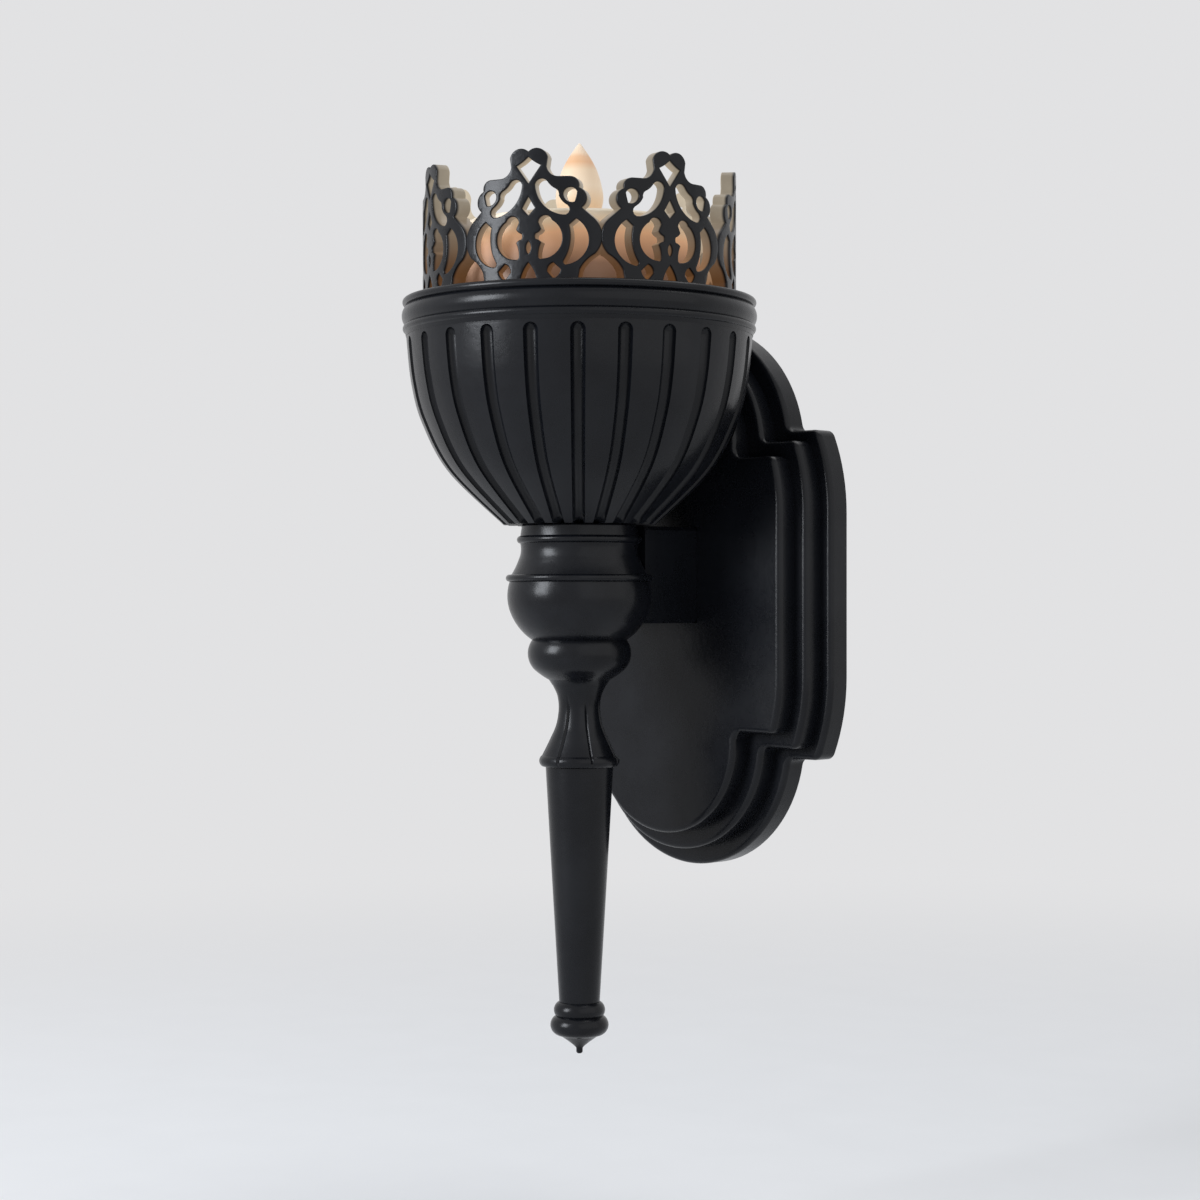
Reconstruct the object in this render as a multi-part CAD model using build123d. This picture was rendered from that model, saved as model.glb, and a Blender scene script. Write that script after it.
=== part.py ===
from build123d import *
import os
from math import radians, sin

os.makedirs("parts", exist_ok=True)

# A tealight sconce in its own frame: +Z up, the wall in the plane Y = 0, the room at -Y, and
# the origin at the middle of the plaque's back. All sizes are millimetres.

# Driving sizes: the candle, and what has been measured against it
tealight_diameter = 38.0
tealight_body_height = 13.6
wall_gap = 1.9                  # between the wall and the rim
crown_height = 20.0             # above the top of the rim ring
rim_diameter = 55.8
bowl_foot_diameter = 24.1
column_drop = 72.4              # plaque middle down to the tip of the finial
plaque_width = 59.8
plaque_depth = 10.9
arm_width = 15.4
motif_count = 7
flute_count = 24

# Wall to the axis of the bowl and column
reach = rim_diameter / 2 + wall_gap

# Levels on the column axis, measured from the middle of the plaque
rim_top = 46.5
rim_bottom = 40.6
bowl_foot = 11.06
hub_top = bowl_foot
hub_bottom = -7.1
knop_bottom = -14.2
neck_bottom = -27.0
shaft_bottom = -64.2

# Named clearances
socket_gap = 0.05
bore_gap = 0.15
thread_gap = 0.05
seat_gap = 0.3
envelope_gap = 0.45
slide_gap = 0.25

# Wall thicknesses and small hardware
casting_wall = 2.2
sheet_wall = 1.0
rod_radius = 1.5
screw_radius = 1.5
screw_head_radius = 2.8
screw_head_height = 1.9


def turned(outline):
    """A solid of revolution about Z from an outline in (radius, height)."""
    return revolve(Plane.XZ * make_face(outline), Axis.Z)


def on_column(shape):
    """Carry a shape that is drawn about Z out to the axis of the column."""
    return Pos(0, -reach, 0) * shape


def bead(inner, outer, middle, half):
    """A small round bead of a turned outline, drawn downward."""
    return ThreePointArc((inner, middle + half), (outer, middle), (inner, middle - half))


def ring(outer, inner, height):
    """A plain ring that stands on its own base plane."""
    return extrude(Circle(outer) - Circle(inner), height)


def save(name, solids):
    """Write one node; several solids become one compound."""
    shape = solids[0] if len(solids) == 1 else Compound(children=list(solids))
    export_step(shape, f"parts/{name}.step")
    volume = sum(solid.volume for solid in solids)
    print(f"{name}: {len(solids)} solid(s), {volume / 1000:.2f} cm3")


def solid_of(shape):
    """The one solid in the result of a boolean."""
    solids = shape.solids()
    assert len(solids) == 1, f"{len(solids)} solids where one is meant"
    return solids[0]


# The bowl's outer curve, shared by the bowl and by the hollow that the plaque keeps for it
bowl_rim_radius = 27.3
bowl_upper_radius = 26.5
bowl_upper_level = 33.2
bowl_middle_radius = 24.76
bowl_middle_level = 26.9
bowl_lower_radius = 20.6
bowl_lower_level = 19.3
bowl_foot_radius = bowl_foot_diameter / 2


def bowl_curve(grow=0.0):
    """The meridian from foot to rim, pushed out and down by a clearance."""
    return Spline(
        (bowl_foot_radius + grow, bowl_foot - grow / 2),
        (bowl_lower_radius + grow * 0.8, bowl_lower_level - grow * 0.6),
        (bowl_middle_radius + grow, bowl_middle_level),
        (bowl_upper_radius + grow, bowl_upper_level),
        (bowl_rim_radius + grow, rim_bottom),
    )


# Wall plaque: three stacked plates of one casting, each a wide rectangle with a round lobe
# above and below; a hollow for the bowl, a socket for the arm and a relieved back

layer_depths = (3.9, 7.4, plaque_depth)
ledge_half_heights = (26.15, 24.3, 21.8)
plate_steps = (0, 2.1, 4.6)
layer_half_widths = [plaque_width / 2 - step for step in plate_steps]
lobe_radii = (21.2, 18.45, 15.6)
corner_radii = (1.7, 1.5, 1.3)
shoulder_level = 13.0           # from here the sides lean in toward the ledges
shoulder_radius = 31.3
lobe_middle = 23.25
lobe_root_radius = 1.4
plate_edge_radius = 0.85
arm_top = 10.9
arm_bottom = -4.5
arm_middle = (arm_top + arm_bottom) / 2
arm_height = arm_top - arm_bottom
arm_socket_depth = 1.5
arm_screw_side = 4.2
back_pocket_depth = 5.0
hanger_levels = (17.5, -26.5)
hanger_width = 19.0
hanger_height = 17.0
hanger_thickness = 1.2
hanger_screw_side = 7.6
hanger_screw_radius = 0.8
hanger_screw_head = 1.5
hanger_pocket_depth = 4.4
keyhole_entry_radius = 4.1
keyhole_slot_radius = 1.9
keyhole_entry_drop = 2.2
keyhole_slot_rise = 4.4


def plate_outline(half_width, half_height, lobe_radius, corner_radius):
    """Straight sides that lean in to a ledge, and a lobe above and below, with soft roots."""
    radius = shoulder_radius - (plaque_width / 2 - half_width)
    centre = half_width - radius
    rise = half_height - shoulder_level
    ledge_end = centre + (radius**2 - rise**2) ** 0.5
    bend = centre + (radius**2 - rise**2 / 4) ** 0.5
    bend_level = shoulder_level + rise / 2
    plate = make_face([
        Line((half_width, -shoulder_level), (half_width, shoulder_level)),
        ThreePointArc((half_width, shoulder_level), (bend, bend_level), (ledge_end, half_height)),
        Line((ledge_end, half_height), (-ledge_end, half_height)),
        ThreePointArc((-ledge_end, half_height), (-bend, bend_level), (-half_width, shoulder_level)),
        Line((-half_width, shoulder_level), (-half_width, -shoulder_level)),
        ThreePointArc((-half_width, -shoulder_level), (-bend, -bend_level), (-ledge_end, -half_height)),
        Line((-ledge_end, -half_height), (ledge_end, -half_height)),
        ThreePointArc((ledge_end, -half_height), (bend, -bend_level), (half_width, -shoulder_level)),
    ])
    for side in (-1, 1):
        plate += Pos(0, side * lobe_middle) * Circle(lobe_radius)
    corners = [v for v in plate.vertices() if abs(abs(v.X) - ledge_end) < 0.01]
    plate = fillet(corners, corner_radius)
    roots = [v for v in plate.vertices() if abs(abs(v.Y) - half_height) < 0.01]
    roots = [v for v in roots if abs(v.X) < lobe_radius + 0.1]
    return fillet(roots, lobe_root_radius)


def soften_front(plate, radius):
    """Round the front edges of one plate, that is the edges furthest from the wall."""
    return fillet(plate.edges().group_by(Axis.Y)[0], radius)


def rounded_box(width, depth, height, radius):
    """A box with rounded upright edges as seen from the front, mouth at Y = 0."""
    outline = Plane.XZ * RectangleRounded(width, height, radius)
    return extrude(outline, depth)


def make_plaque():
    plaque = None
    sizes = zip(layer_depths, layer_half_widths, ledge_half_heights, lobe_radii, corner_radii)
    for depth, half_width, half_height, lobe_radius, corner_radius in sizes:
        outline = plate_outline(half_width, half_height, lobe_radius, corner_radius)
        plate = soften_front(extrude(Plane.XZ * outline, depth), plate_edge_radius)
        plaque = plate if plaque is None else plaque + plate

    # Hollow that clears the bowl and the rim ring
    hollow_radius = rim_diameter / 2 + 0.1 + envelope_gap
    hollow = turned([
        bowl_curve(envelope_gap),
        Polyline(
            (bowl_rim_radius + envelope_gap, rim_bottom),
            (hollow_radius, rim_bottom - envelope_gap),
            (hollow_radius, rim_top + 10),
            (0, rim_top + 10),
            (0, bowl_foot - envelope_gap / 2),
            (bowl_foot_radius + envelope_gap, bowl_foot - envelope_gap / 2),
        ),
    ])
    plaque -= on_column(hollow)

    # Socket for the arm, and the two screw holes with their counterbores in the back
    socket = Box(arm_width + 2 * socket_gap, arm_socket_depth + 1, arm_height + 2 * socket_gap)
    plaque -= Pos(0, arm_socket_depth / 2 - 0.5 - plaque_depth, arm_middle) * socket
    for side in (-1, 1):
        spot = Pos(side * arm_screw_side, 0, arm_middle) * Rot(X=90)
        plaque -= spot * Cylinder(screw_radius + bore_gap, 3 * plaque_depth)
        plaque -= spot * Cylinder(screw_head_radius + bore_gap, 2 * 3.0)

    # Seats for the two hanger plates, and the room for a wall screw's head behind each
    for level in hanger_levels:
        place = Pos(0, 0, level)
        plaque -= place * rounded_box(hanger_width + 0.2, hanger_thickness, hanger_height + 0.2, 1.6)
        plaque -= place * rounded_box(11.0, hanger_pocket_depth, 13.4, 3.0)
        for side in (-1, 1):
            hole = Pos(side * hanger_screw_side, 0, level) * Rot(X=90)
            plaque -= hole * Cylinder(hanger_screw_radius + bore_gap, 2 * 4.4)

    # Relief pockets in the back, either side of the arm
    for side in (-1, 1):
        plaque -= Pos(side * 18.5, 0, -8) * rounded_box(13, back_pocket_depth, 24, 3)
    return solid_of(plaque)


def make_hanger_plates():
    plates = []
    for level in hanger_levels:
        plate = rounded_box(hanger_width, hanger_thickness, hanger_height, 1.5)
        entry = Pos(0, 0, -keyhole_entry_drop) * Rot(X=90)
        plate -= entry * Cylinder(keyhole_entry_radius, 8)
        slot_middle = (keyhole_slot_rise - keyhole_entry_drop) / 2
        slot_length = keyhole_slot_rise + keyhole_entry_drop
        slot = Box(2 * keyhole_slot_radius, 8, slot_length)
        plate -= Pos(0, 0, slot_middle) * slot
        slot_end = Pos(0, 0, keyhole_slot_rise) * Rot(X=90)
        plate -= slot_end * Cylinder(keyhole_slot_radius, 8)
        for side in (-1, 1):
            hole = Pos(side * hanger_screw_side, 0, 0) * Rot(X=90)
            plate -= hole * Cylinder(hanger_screw_radius + 0.1, 8)
            sink = Pos(side * hanger_screw_side, 0, 0) * Rot(X=90)
            cone = Cone(hanger_screw_head + 0.1, hanger_screw_radius + 0.1, 0.8)
            plate -= sink * Pos(0, 0, 0.4) * cone
        plates.append(solid_of(Pos(0, 0, level) * plate))
    return plates


def make_hanger_screws():
    screws = []
    shank_length = 4.2
    for level in hanger_levels:
        for side in (-1, 1):
            outline = Polyline(
                (0, 0),
                (hanger_screw_head, 0),
                (hanger_screw_radius, -0.8),
                (hanger_screw_radius, -shank_length + 0.6),
                (0, -shank_length),
                close=True,
            )
            screw = turned(outline)
            screws.append(solid_of(Pos(side * hanger_screw_side, 0, level) * Rot(X=-90) * screw))
    return screws


# Arm: a square bar with small bevels, a round tenon into the hub and two tapped holes

arm_front = 6.95                # behind the column axis
arm_bevel = 0.6
tenon_radius = 5.0
tenon_end = 3.5                 # in front of the column axis
arm_hole_depth = 9.0


def make_arm():
    back = -plaque_depth + arm_socket_depth
    front = -reach + arm_front
    bar = Box(arm_width, back - front, arm_height)
    bar = chamfer(bar.edges().filter_by(Axis.Y), arm_bevel)
    bar = Pos(0, (back + front) / 2, arm_middle) * bar
    tenon_length = arm_front + tenon_end
    tenon = Pos(0, front - tenon_length / 2, arm_middle) * Rot(X=90) * Cylinder(tenon_radius, tenon_length)
    arm = bar + tenon
    arm -= on_column(Cylinder(rod_radius + bore_gap, 40))
    for side in (-1, 1):
        hole = Rot(X=90) * Cylinder(screw_radius + thread_gap, 2 * arm_hole_depth)
        arm -= Pos(side * arm_screw_side, back, arm_middle) * hole
    return solid_of(arm)


def make_arm_screws():
    head_face = -3.0
    tip = -plaque_depth + arm_socket_depth - arm_hole_depth + 0.6
    screws = []
    for side in (-1, 1):
        shank_length = head_face - tip
        shank = Pos(0, 0, -shank_length / 2) * Cylinder(screw_radius, shank_length)
        head = Pos(0, 0, screw_head_height / 2) * Cylinder(screw_head_radius, screw_head_height)
        head = chamfer(head.edges().group_by(Axis.Z)[-1], 0.4)
        drive = Pos(0, 0, screw_head_height) * Box(0.7, 3.6, 1.6)
        drive += Pos(0, 0, screw_head_height) * Box(3.6, 0.7, 1.6)
        screw = shank + head - drive
        screws.append(solid_of(Pos(side * arm_screw_side, head_face, arm_middle) * Rot(X=-90) * screw))
    return screws


# Hub: a small bell with two thin beads over a ball, notched for the arm

hub_neck_radius = 9.3
hub_bead_radius = 9.9
hub_skirt_radius = 10.7
hub_waist_bead_radius = 11.64
hub_ball_radius = 11.4
hub_foot_radius = 7.5


def make_hub():
    outline = [
        Line((0, hub_top), (9.05, hub_top)),
        Line((9.05, hub_top), (9.35, 9.3)),
        bead(9.35, hub_bead_radius, 8.7, 0.6),
        ThreePointArc((9.35, 8.1), (9.25, 7.1), (9.6, 5.6)),
        ThreePointArc((9.6, 5.6), (10.1, 4.4), (hub_skirt_radius, 3.2)),
        Line((hub_skirt_radius, 3.2), (11.05, 3.2)),
        bead(11.05, hub_waist_bead_radius, 2.65, 0.55),
        ThreePointArc((11.05, 2.1), (hub_ball_radius, 0.0), (10.75, -3.2)),
        ThreePointArc((10.75, -3.2), (9.3, -5.5), (hub_foot_radius, hub_bottom)),
        Line((hub_foot_radius, hub_bottom), (0, hub_bottom)),
        Line((0, hub_bottom), (0, hub_top)),
    ]
    hub = turned(outline)
    hub -= Cylinder(rod_radius + bore_gap, 60)
    notch_depth = 8.0
    notch = Box(arm_width + 2 * socket_gap, notch_depth, arm_height + socket_gap + 2)
    hub -= Pos(0, arm_front + notch_depth / 2, arm_middle + 1 - socket_gap / 2) * notch
    mortise_length = arm_front + tenon_end + 0.1
    mortise = Rot(X=90) * Cylinder(tenon_radius + socket_gap, mortise_length)
    hub -= Pos(0, arm_front - mortise_length / 2, arm_middle) * mortise
    return solid_of(on_column(hub))


# Knop: the small flattened ball below the hub

def make_knop():
    outline = [
        Line((0, hub_bottom), (hub_foot_radius, hub_bottom)),
        ThreePointArc((hub_foot_radius, hub_bottom), (8.17, -9.4), (7.06, -11.85)),
        ThreePointArc((7.06, -11.85), (6.1, -12.6), (4.82, -13.4)),
        Line((4.82, -13.4), (4.3, knop_bottom)),
        Line((4.3, knop_bottom), (0, knop_bottom)),
        Line((0, knop_bottom), (0, hub_bottom)),
    ]
    knop = turned(outline)
    knop -= Cylinder(rod_radius + bore_gap, 60)
    return solid_of(on_column(knop))


# Fluted neck: a waisted trumpet with seven creases and a rolled lip

neck_waist_radius = 3.28
neck_lip_radius = 6.35
crease_radius = 0.42
motif_phase = 25.7 + 1.8        # first crown motif, in degrees from the front toward +X
crease_phase = 12.7


def neck_curve():
    return Spline(
        (4.25, knop_bottom),
        (3.5, -15.9),
        (neck_waist_radius, -18.0),
        (3.68, -20.5),
        (4.71, -22.9),
        (5.9, -25.3),
    )


def make_fluted_neck():
    profile = neck_curve()
    outline = [
        Line((0, knop_bottom), (4.25, knop_bottom)),
        profile,
        ThreePointArc((5.9, -25.3), (neck_lip_radius, -26.05), (5.95, neck_bottom)),
        Line((5.95, neck_bottom), (0, neck_bottom)),
        Line((0, neck_bottom), (0, knop_bottom)),
    ]
    neck = turned(outline)
    neck -= Cylinder(rod_radius + bore_gap, 80)
    start = 0.12
    groove_path = Plane.XZ * profile.trim(start, 0.99)
    groove = sweep(Plane(groove_path @ 0, z_dir=groove_path % 0) * Circle(crease_radius), groove_path)
    for index in range(motif_count):
        angle = crease_phase - 90 + index * 360 / motif_count
        neck -= Rot(Z=angle) * groove
    return solid_of(on_column(neck))


# Tapered shaft: a long plain cone that a threaded end of the finial closes

shaft_top_radius = 5.35
shaft_end_radius = 3.2


def make_tapered_shaft():
    outline = Polyline(
        (0, neck_bottom),
        (shaft_top_radius, neck_bottom),
        (shaft_top_radius - 0.25, neck_bottom - 4.5),
        (shaft_end_radius, shaft_bottom),
        (0, shaft_bottom),
        close=True,
    )
    shaft = turned(outline)
    shaft -= Cylinder(rod_radius + bore_gap, 3 * abs(shaft_bottom))
    return solid_of(on_column(shaft))


# Finial: a bead, a flattened ball and a small nub, tapped for the tie rod

finial_bead_radius = 4.05
finial_ball_radius = 4.6
finial_nub_radius = 0.52
finial_thread_depth = 4.2


def make_finial():
    outline = [
        Line((0, shaft_bottom), (3.3, shaft_bottom)),
        ThreePointArc((3.3, shaft_bottom), (finial_bead_radius, -65.45), (3.75, -66.4)),
        ThreePointArc((3.75, -66.4), (finial_ball_radius, -67.95), (3.07, -69.5)),
        ThreePointArc((3.07, -69.5), (2.0, -70.25), (0.9, -71.1)),
        Polyline(
            (0.9, -71.1),
            (finial_nub_radius, -71.5),
            (finial_nub_radius, -column_drop + 0.3),
            (finial_nub_radius - 0.25, -column_drop),
            (0, -column_drop),
            (0, shaft_bottom),
        ),
    ]
    finial = turned(outline)
    bore_depth = finial_thread_depth + 0.2
    bore = Cylinder(rod_radius + thread_gap, bore_depth)
    finial -= Pos(0, 0, shaft_bottom - bore_depth / 2) * bore
    return solid_of(on_column(finial))


# Tie rod, washer and nut: they draw the bowl, hub, knop, neck, shaft and finial together

bowl_floor = 3.0
washer_radius = 4.0
washer_thickness = 0.8
nut_width = 5.5
nut_height = 2.4
rod_top = bowl_foot + bowl_floor + washer_thickness + nut_height + 1.4


def make_tie_rod():
    bottom = shaft_bottom - finial_thread_depth
    rod = Pos(0, 0, (rod_top + bottom) / 2) * Cylinder(rod_radius, rod_top - bottom)
    rod = chamfer(rod.edges().filter_by(GeomType.CIRCLE), 0.4)
    return solid_of(on_column(rod))


def make_tie_washer():
    washer = ring(washer_radius, rod_radius + bore_gap, washer_thickness)
    return solid_of(on_column(Pos(0, 0, bowl_foot + bowl_floor) * washer))


def make_tie_nut():
    nut = extrude(RegularPolygon(nut_width / 2, 6, major_radius=False), nut_height)
    nut -= Cylinder(rod_radius + thread_gap, 20)
    level = bowl_foot + bowl_floor + washer_thickness
    return solid_of(on_column(Pos(0, 0, level) * nut))


# Fluted bowl: a deep hollow bowl with twenty-four tapering flutes in its outside

flute_top_radius = 1.15
flute_foot_radius = 0.95
flute_top_level = 38.6
bowl_inside_radius = bowl_rim_radius - casting_wall - 0.3
rim_spigot_depth = 2.4


def make_fluted_bowl():
    outside = bowl_curve()
    inner_floor = bowl_foot + bowl_floor
    bowl = turned([
        outside,
        Polyline(
            (bowl_rim_radius, rim_bottom),
            (bowl_inside_radius, rim_bottom),
            (bowl_inside_radius, rim_bottom - rim_spigot_depth - 0.1),
        ),
        Spline(
            (bowl_inside_radius, rim_bottom - rim_spigot_depth - 0.1),
            (bowl_upper_radius - 2.7, bowl_upper_level),
            (bowl_middle_radius - 2.9, bowl_middle_level + 0.6),
            (bowl_lower_radius - 3.6, bowl_lower_level + 1.6),
            (bowl_foot_radius - 2.4, inner_floor),
        ),
        Polyline(
            (bowl_foot_radius - 2.4, inner_floor),
            (rod_radius + bore_gap, inner_floor),
            (rod_radius + bore_gap, bowl_foot),
            (bowl_foot_radius, bowl_foot),
        ),
    ])

    # One flute runs up the meridian; its sections shrink toward the foot
    reach_up = (flute_top_level - bowl_foot) / (rim_bottom - bowl_foot)
    path = Plane.XZ * outside
    stations = 5
    sections = []
    for index in range(stations):
        along = index / (stations - 1) * reach_up
        size = flute_foot_radius + (flute_top_radius - flute_foot_radius) * along
        plane = Plane(path @ along, z_dir=path % along)
        sections.append(plane * Circle(size))
    flute = loft(sections)
    end = path @ reach_up
    flute += Pos(*end) * Sphere(flute_top_radius)
    start = path @ 0.0
    flute += Pos(*start) * Sphere(flute_foot_radius)
    for index in range(flute_count):
        bowl -= Rot(Z=index * 360 / flute_count) * flute
    return solid_of(on_column(bowl))


# Rim ring: two beads and a swelling band, stepped inside for the candle seat and the crown

crown_outer_radius = 24.7
crown_wall = casting_wall
crown_seat_level = 44.8
candle_seat_top = 44.1
candle_seat_thickness = sheet_wall
candle_seat_radius = crown_outer_radius - crown_wall - seat_gap
rim_bore_radius = 20.2
rim_bead_radius = rim_diameter / 2
rim_band_radius = rim_bead_radius + 0.1
rim_spigot_radius = bowl_inside_radius - socket_gap


def make_rim_ring():
    crown_pocket = crown_outer_radius + socket_gap
    seat_pocket = candle_seat_radius + socket_gap
    seat_level = candle_seat_top - candle_seat_thickness
    outline = [
        Line((crown_pocket, rim_top), (rim_bead_radius - 0.55, rim_top)),
        ThreePointArc(
            (rim_bead_radius - 0.55, rim_top),
            (rim_bead_radius, rim_top - 0.55),
            (rim_bead_radius - 0.45, rim_top - 1.15),
        ),
        ThreePointArc(
            (rim_bead_radius - 0.45, rim_top - 1.15),
            (rim_band_radius, 43.8),
            (rim_bead_radius - 0.4, 42.3),
        ),
        ThreePointArc(
            (rim_bead_radius - 0.4, 42.3),
            (rim_bead_radius - 0.05, 41.75),
            (rim_bead_radius - 0.4, 41.2),
        ),
        Polyline(
            (rim_bead_radius - 0.4, 41.2),
            (bowl_rim_radius + 0.05, rim_bottom),
            (rim_spigot_radius, rim_bottom),
            (rim_spigot_radius, rim_bottom - rim_spigot_depth),
            (rim_spigot_radius - 1.6, rim_bottom - rim_spigot_depth),
            (rim_bore_radius, rim_bottom + 0.6),
            (rim_bore_radius, seat_level),
            (seat_pocket, seat_level),
            (seat_pocket, crown_seat_level),
            (crown_pocket, crown_seat_level),
            (crown_pocket, rim_top),
        ),
    ]
    return solid_of(on_column(turned(outline)))


# Candle seat: a pressed disc with a hemmed edge and a low locating ridge round the candle

seat_ridge_inner = tealight_diameter / 2 + slide_gap + 0.25
seat_ridge_outer = seat_ridge_inner + 0.9
seat_ridge_height = 0.5


def make_candle_seat():
    bottom = candle_seat_top - candle_seat_thickness
    disc = Pos(0, 0, bottom) * extrude(Circle(candle_seat_radius), candle_seat_thickness)
    ridge = ring(seat_ridge_outer, seat_ridge_inner, seat_ridge_height)
    disc += Pos(0, 0, candle_seat_top) * ridge
    for index in range(3):
        hole = Rot(Z=90 + 120 * index) * Pos(10, 0, 0) * Cylinder(1.6, 4 * rim_top)
        disc -= hole
    return solid_of(on_column(disc))


# Crown gallery: seven pierced palmettes in a ring, each drawn flat and cast on a cylinder

crown_band_height = rim_top - crown_seat_level
crown_inner_radius = crown_outer_radius - crown_wall
motif_pitch = 360 / motif_count
motif_half_width = crown_outer_radius * sin(radians(motif_pitch / 2))


def mirrored(shape):
    """A flat shape together with its mirror image about the motif's own axis."""
    return shape + mirror(shape, Plane.YZ)


def motif_outline():
    """The silhouette of one palmette above the rim, in (across, up) on its tangent plane."""
    flare = motif_half_width
    half = make_face([
        ThreePointArc((0, 19.2), (1.45, 19.68), (2.95, 18.3)),
        Line((2.95, 18.3), (2.75, 16.9)),
        ThreePointArc((2.75, 16.9), (3.35, 15.85), (4.6, 15.4)),
        Line((4.6, 15.4), (6.3, 15.4)),
        ThreePointArc((6.3, 15.4), (7.3, 14.85), (7.5, 13.75)),
        ThreePointArc((7.5, 13.75), (8.6, 12.3), (7.9, 10.75)),
        Line((7.9, 10.75), (9.6, 9.2)),
        ThreePointArc((9.6, 9.2), (flare + 0.25, 6.6), (9.7, 3.9)),
        ThreePointArc((9.7, 3.9), (8.3, 2.7), (7.6, 1.6)),
        Polyline((7.6, 1.6), (7.3, 0), (7.3, -0.4), (0, -0.4), (0, 19.2)),
    ])
    return mirrored(half)


def top_window():
    """The kite under the two top lobes."""
    half = make_face([
        ThreePointArc((0, 18.4), (0.85, 17.7), (1.9, 17.1)),
        Polyline((1.9, 17.1), (0, 14.45), (0, 18.4)),
    ])
    return mirrored(half)


def kidney_window():
    """One of the two kidneys beside the axis, with the small wave in its outer edge."""
    kidney = make_face([
        ThreePointArc((1.0, 14.3), (1.95, 15.1), (2.9, 14.65)),
        ThreePointArc((2.9, 14.65), (3.5, 13.95), (4.2, 13.5)),
        ThreePointArc((4.2, 13.5), (4.55, 13.1), (4.6, 12.5)),
        ThreePointArc((4.6, 12.5), (5.1, 11.7), (5.85, 11.1)),
        ThreePointArc((5.85, 11.1), (6.1, 10.1), (5.2, 9.7)),
        ThreePointArc((5.2, 9.7), (2.4, 11.1), (1.0, 14.3)),
    ])
    return mirrored(kidney)


def ear_window():
    """The small pierced eye in each shoulder, pointed outward."""
    eye = make_face([
        ThreePointArc((7.25, 13.1), (6.25, 13.75), (5.25, 12.9)),
        ThreePointArc((5.25, 12.9), (5.8, 11.75), (6.9, 11.6)),
        ThreePointArc((6.9, 11.6), (7.1, 12.3), (7.25, 13.1)),
    ])
    return mirrored(eye)


def middle_window():
    """The small drop on the axis between the kidneys."""
    half = make_face([
        Line((0, 12.5), (1.0, 10.8)),
        Line((1.0, 10.8), (0, 9.7)),
        Line((0, 9.7), (0, 12.5)),
    ])
    return mirrored(half)


def leaf_window():
    """The wide opening each side of the leaf-shaped stem."""
    opening = make_face([
        ThreePointArc((1.5, 8.7), (2.4, 9.65), (3.6, 8.9)),
        ThreePointArc((3.6, 8.9), (5.1, 6.6), (2.1, 3.25)),
        ThreePointArc((2.1, 3.25), (1.65, 3.3), (1.5, 3.65)),
        ThreePointArc((1.5, 3.65), (1.6, 4.7), (1.95, 5.7)),
        ThreePointArc((1.95, 5.7), (1.55, 6.05), (1.1, 6.2)),
        ThreePointArc((1.1, 6.2), (0.98, 6.6), (1.1, 7.0)),
        ThreePointArc((1.1, 7.0), (1.6, 7.25), (1.95, 7.7)),
        Line((1.95, 7.7), (1.5, 8.7)),
    ])
    return mirrored(opening)


def crescent_window():
    """The crescent in the outer flare."""
    crescent = make_face([
        ThreePointArc((7.1, 9.1), (8.75, 6.9), (5.6, 2.3)),
        ThreePointArc((5.6, 2.3), (5.3, 2.5), (5.25, 2.85)),
        ThreePointArc((5.25, 2.85), (6.25, 5.6), (6.1, 8.2)),
        Line((6.1, 8.2), (7.1, 9.1)),
    ])
    return mirrored(crescent)


def foot_window():
    """The little pierced drop in each foot."""
    drop = make_face([
        ThreePointArc((3.8, 2.65), (3.05, 2.1), (2.85, 1.35)),
        Line((2.85, 1.35), (3.8, 0.25)),
        ThreePointArc((3.8, 0.25), (4.55, 0.8), (4.9, 1.6)),
        Line((4.9, 1.6), (3.8, 2.65)),
    ])
    return mirrored(drop)


def arch_window():
    """The pointed arch between the two feet of a motif."""
    half = make_face([
        ThreePointArc((0, 2.75), (0.85, 1.5), (1.35, 0)),
        Line((1.35, 0), (0, 0)),
        Line((0, 0), (0, 2.75)),
    ])
    return mirrored(half)


def stem_window():
    """The tear in the stem, where the two halves of the leaf part."""
    half = make_face([
        ThreePointArc((0, 5.9), (0.4, 4.8), (0, 4.0)),
        Line((0, 4.0), (0, 5.9)),
    ])
    return mirrored(half)


def make_crown_gallery():
    # What is missing from one pitch of the ring: the sky round the palmette, and its windows
    sky_height = crown_height + 4
    missing = Pos(0, sky_height / 2) * Rectangle(2 * motif_half_width, sky_height)
    missing -= motif_outline()
    missing += top_window()
    missing += kidney_window()
    missing += ear_window()
    missing += middle_window()
    missing += leaf_window()
    missing += crescent_window()
    missing += foot_window()
    missing += arch_window()
    missing += stem_window()
    depth = 2 * casting_wall + 3
    front = Plane(
        origin=(0, casting_wall + 2 - crown_outer_radius, rim_top),
        x_dir=(1, 0, 0),
        z_dir=(0, -1, 0),
    )
    cutter = extrude(front * missing, depth)

    # A crease down the joint where two flares meet
    crease = Pos(0, -crown_outer_radius, rim_top + 6.5) * Rot(Z=45) * Box(0.8, 0.8, 9)

    height = crown_band_height + crown_height + 2
    crown = Pos(0, 0, crown_seat_level) * ring(crown_outer_radius, crown_inner_radius, height)
    for index in range(motif_count):
        angle = motif_phase + index * motif_pitch
        crown -= Rot(Z=angle) * cutter
        crown -= Rot(Z=angle + motif_pitch / 2) * crease
    return solid_of(on_column(crown))


# Tealight: case, dished top, flame, lamp, contacts, cell, door, door screw and switch

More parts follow.
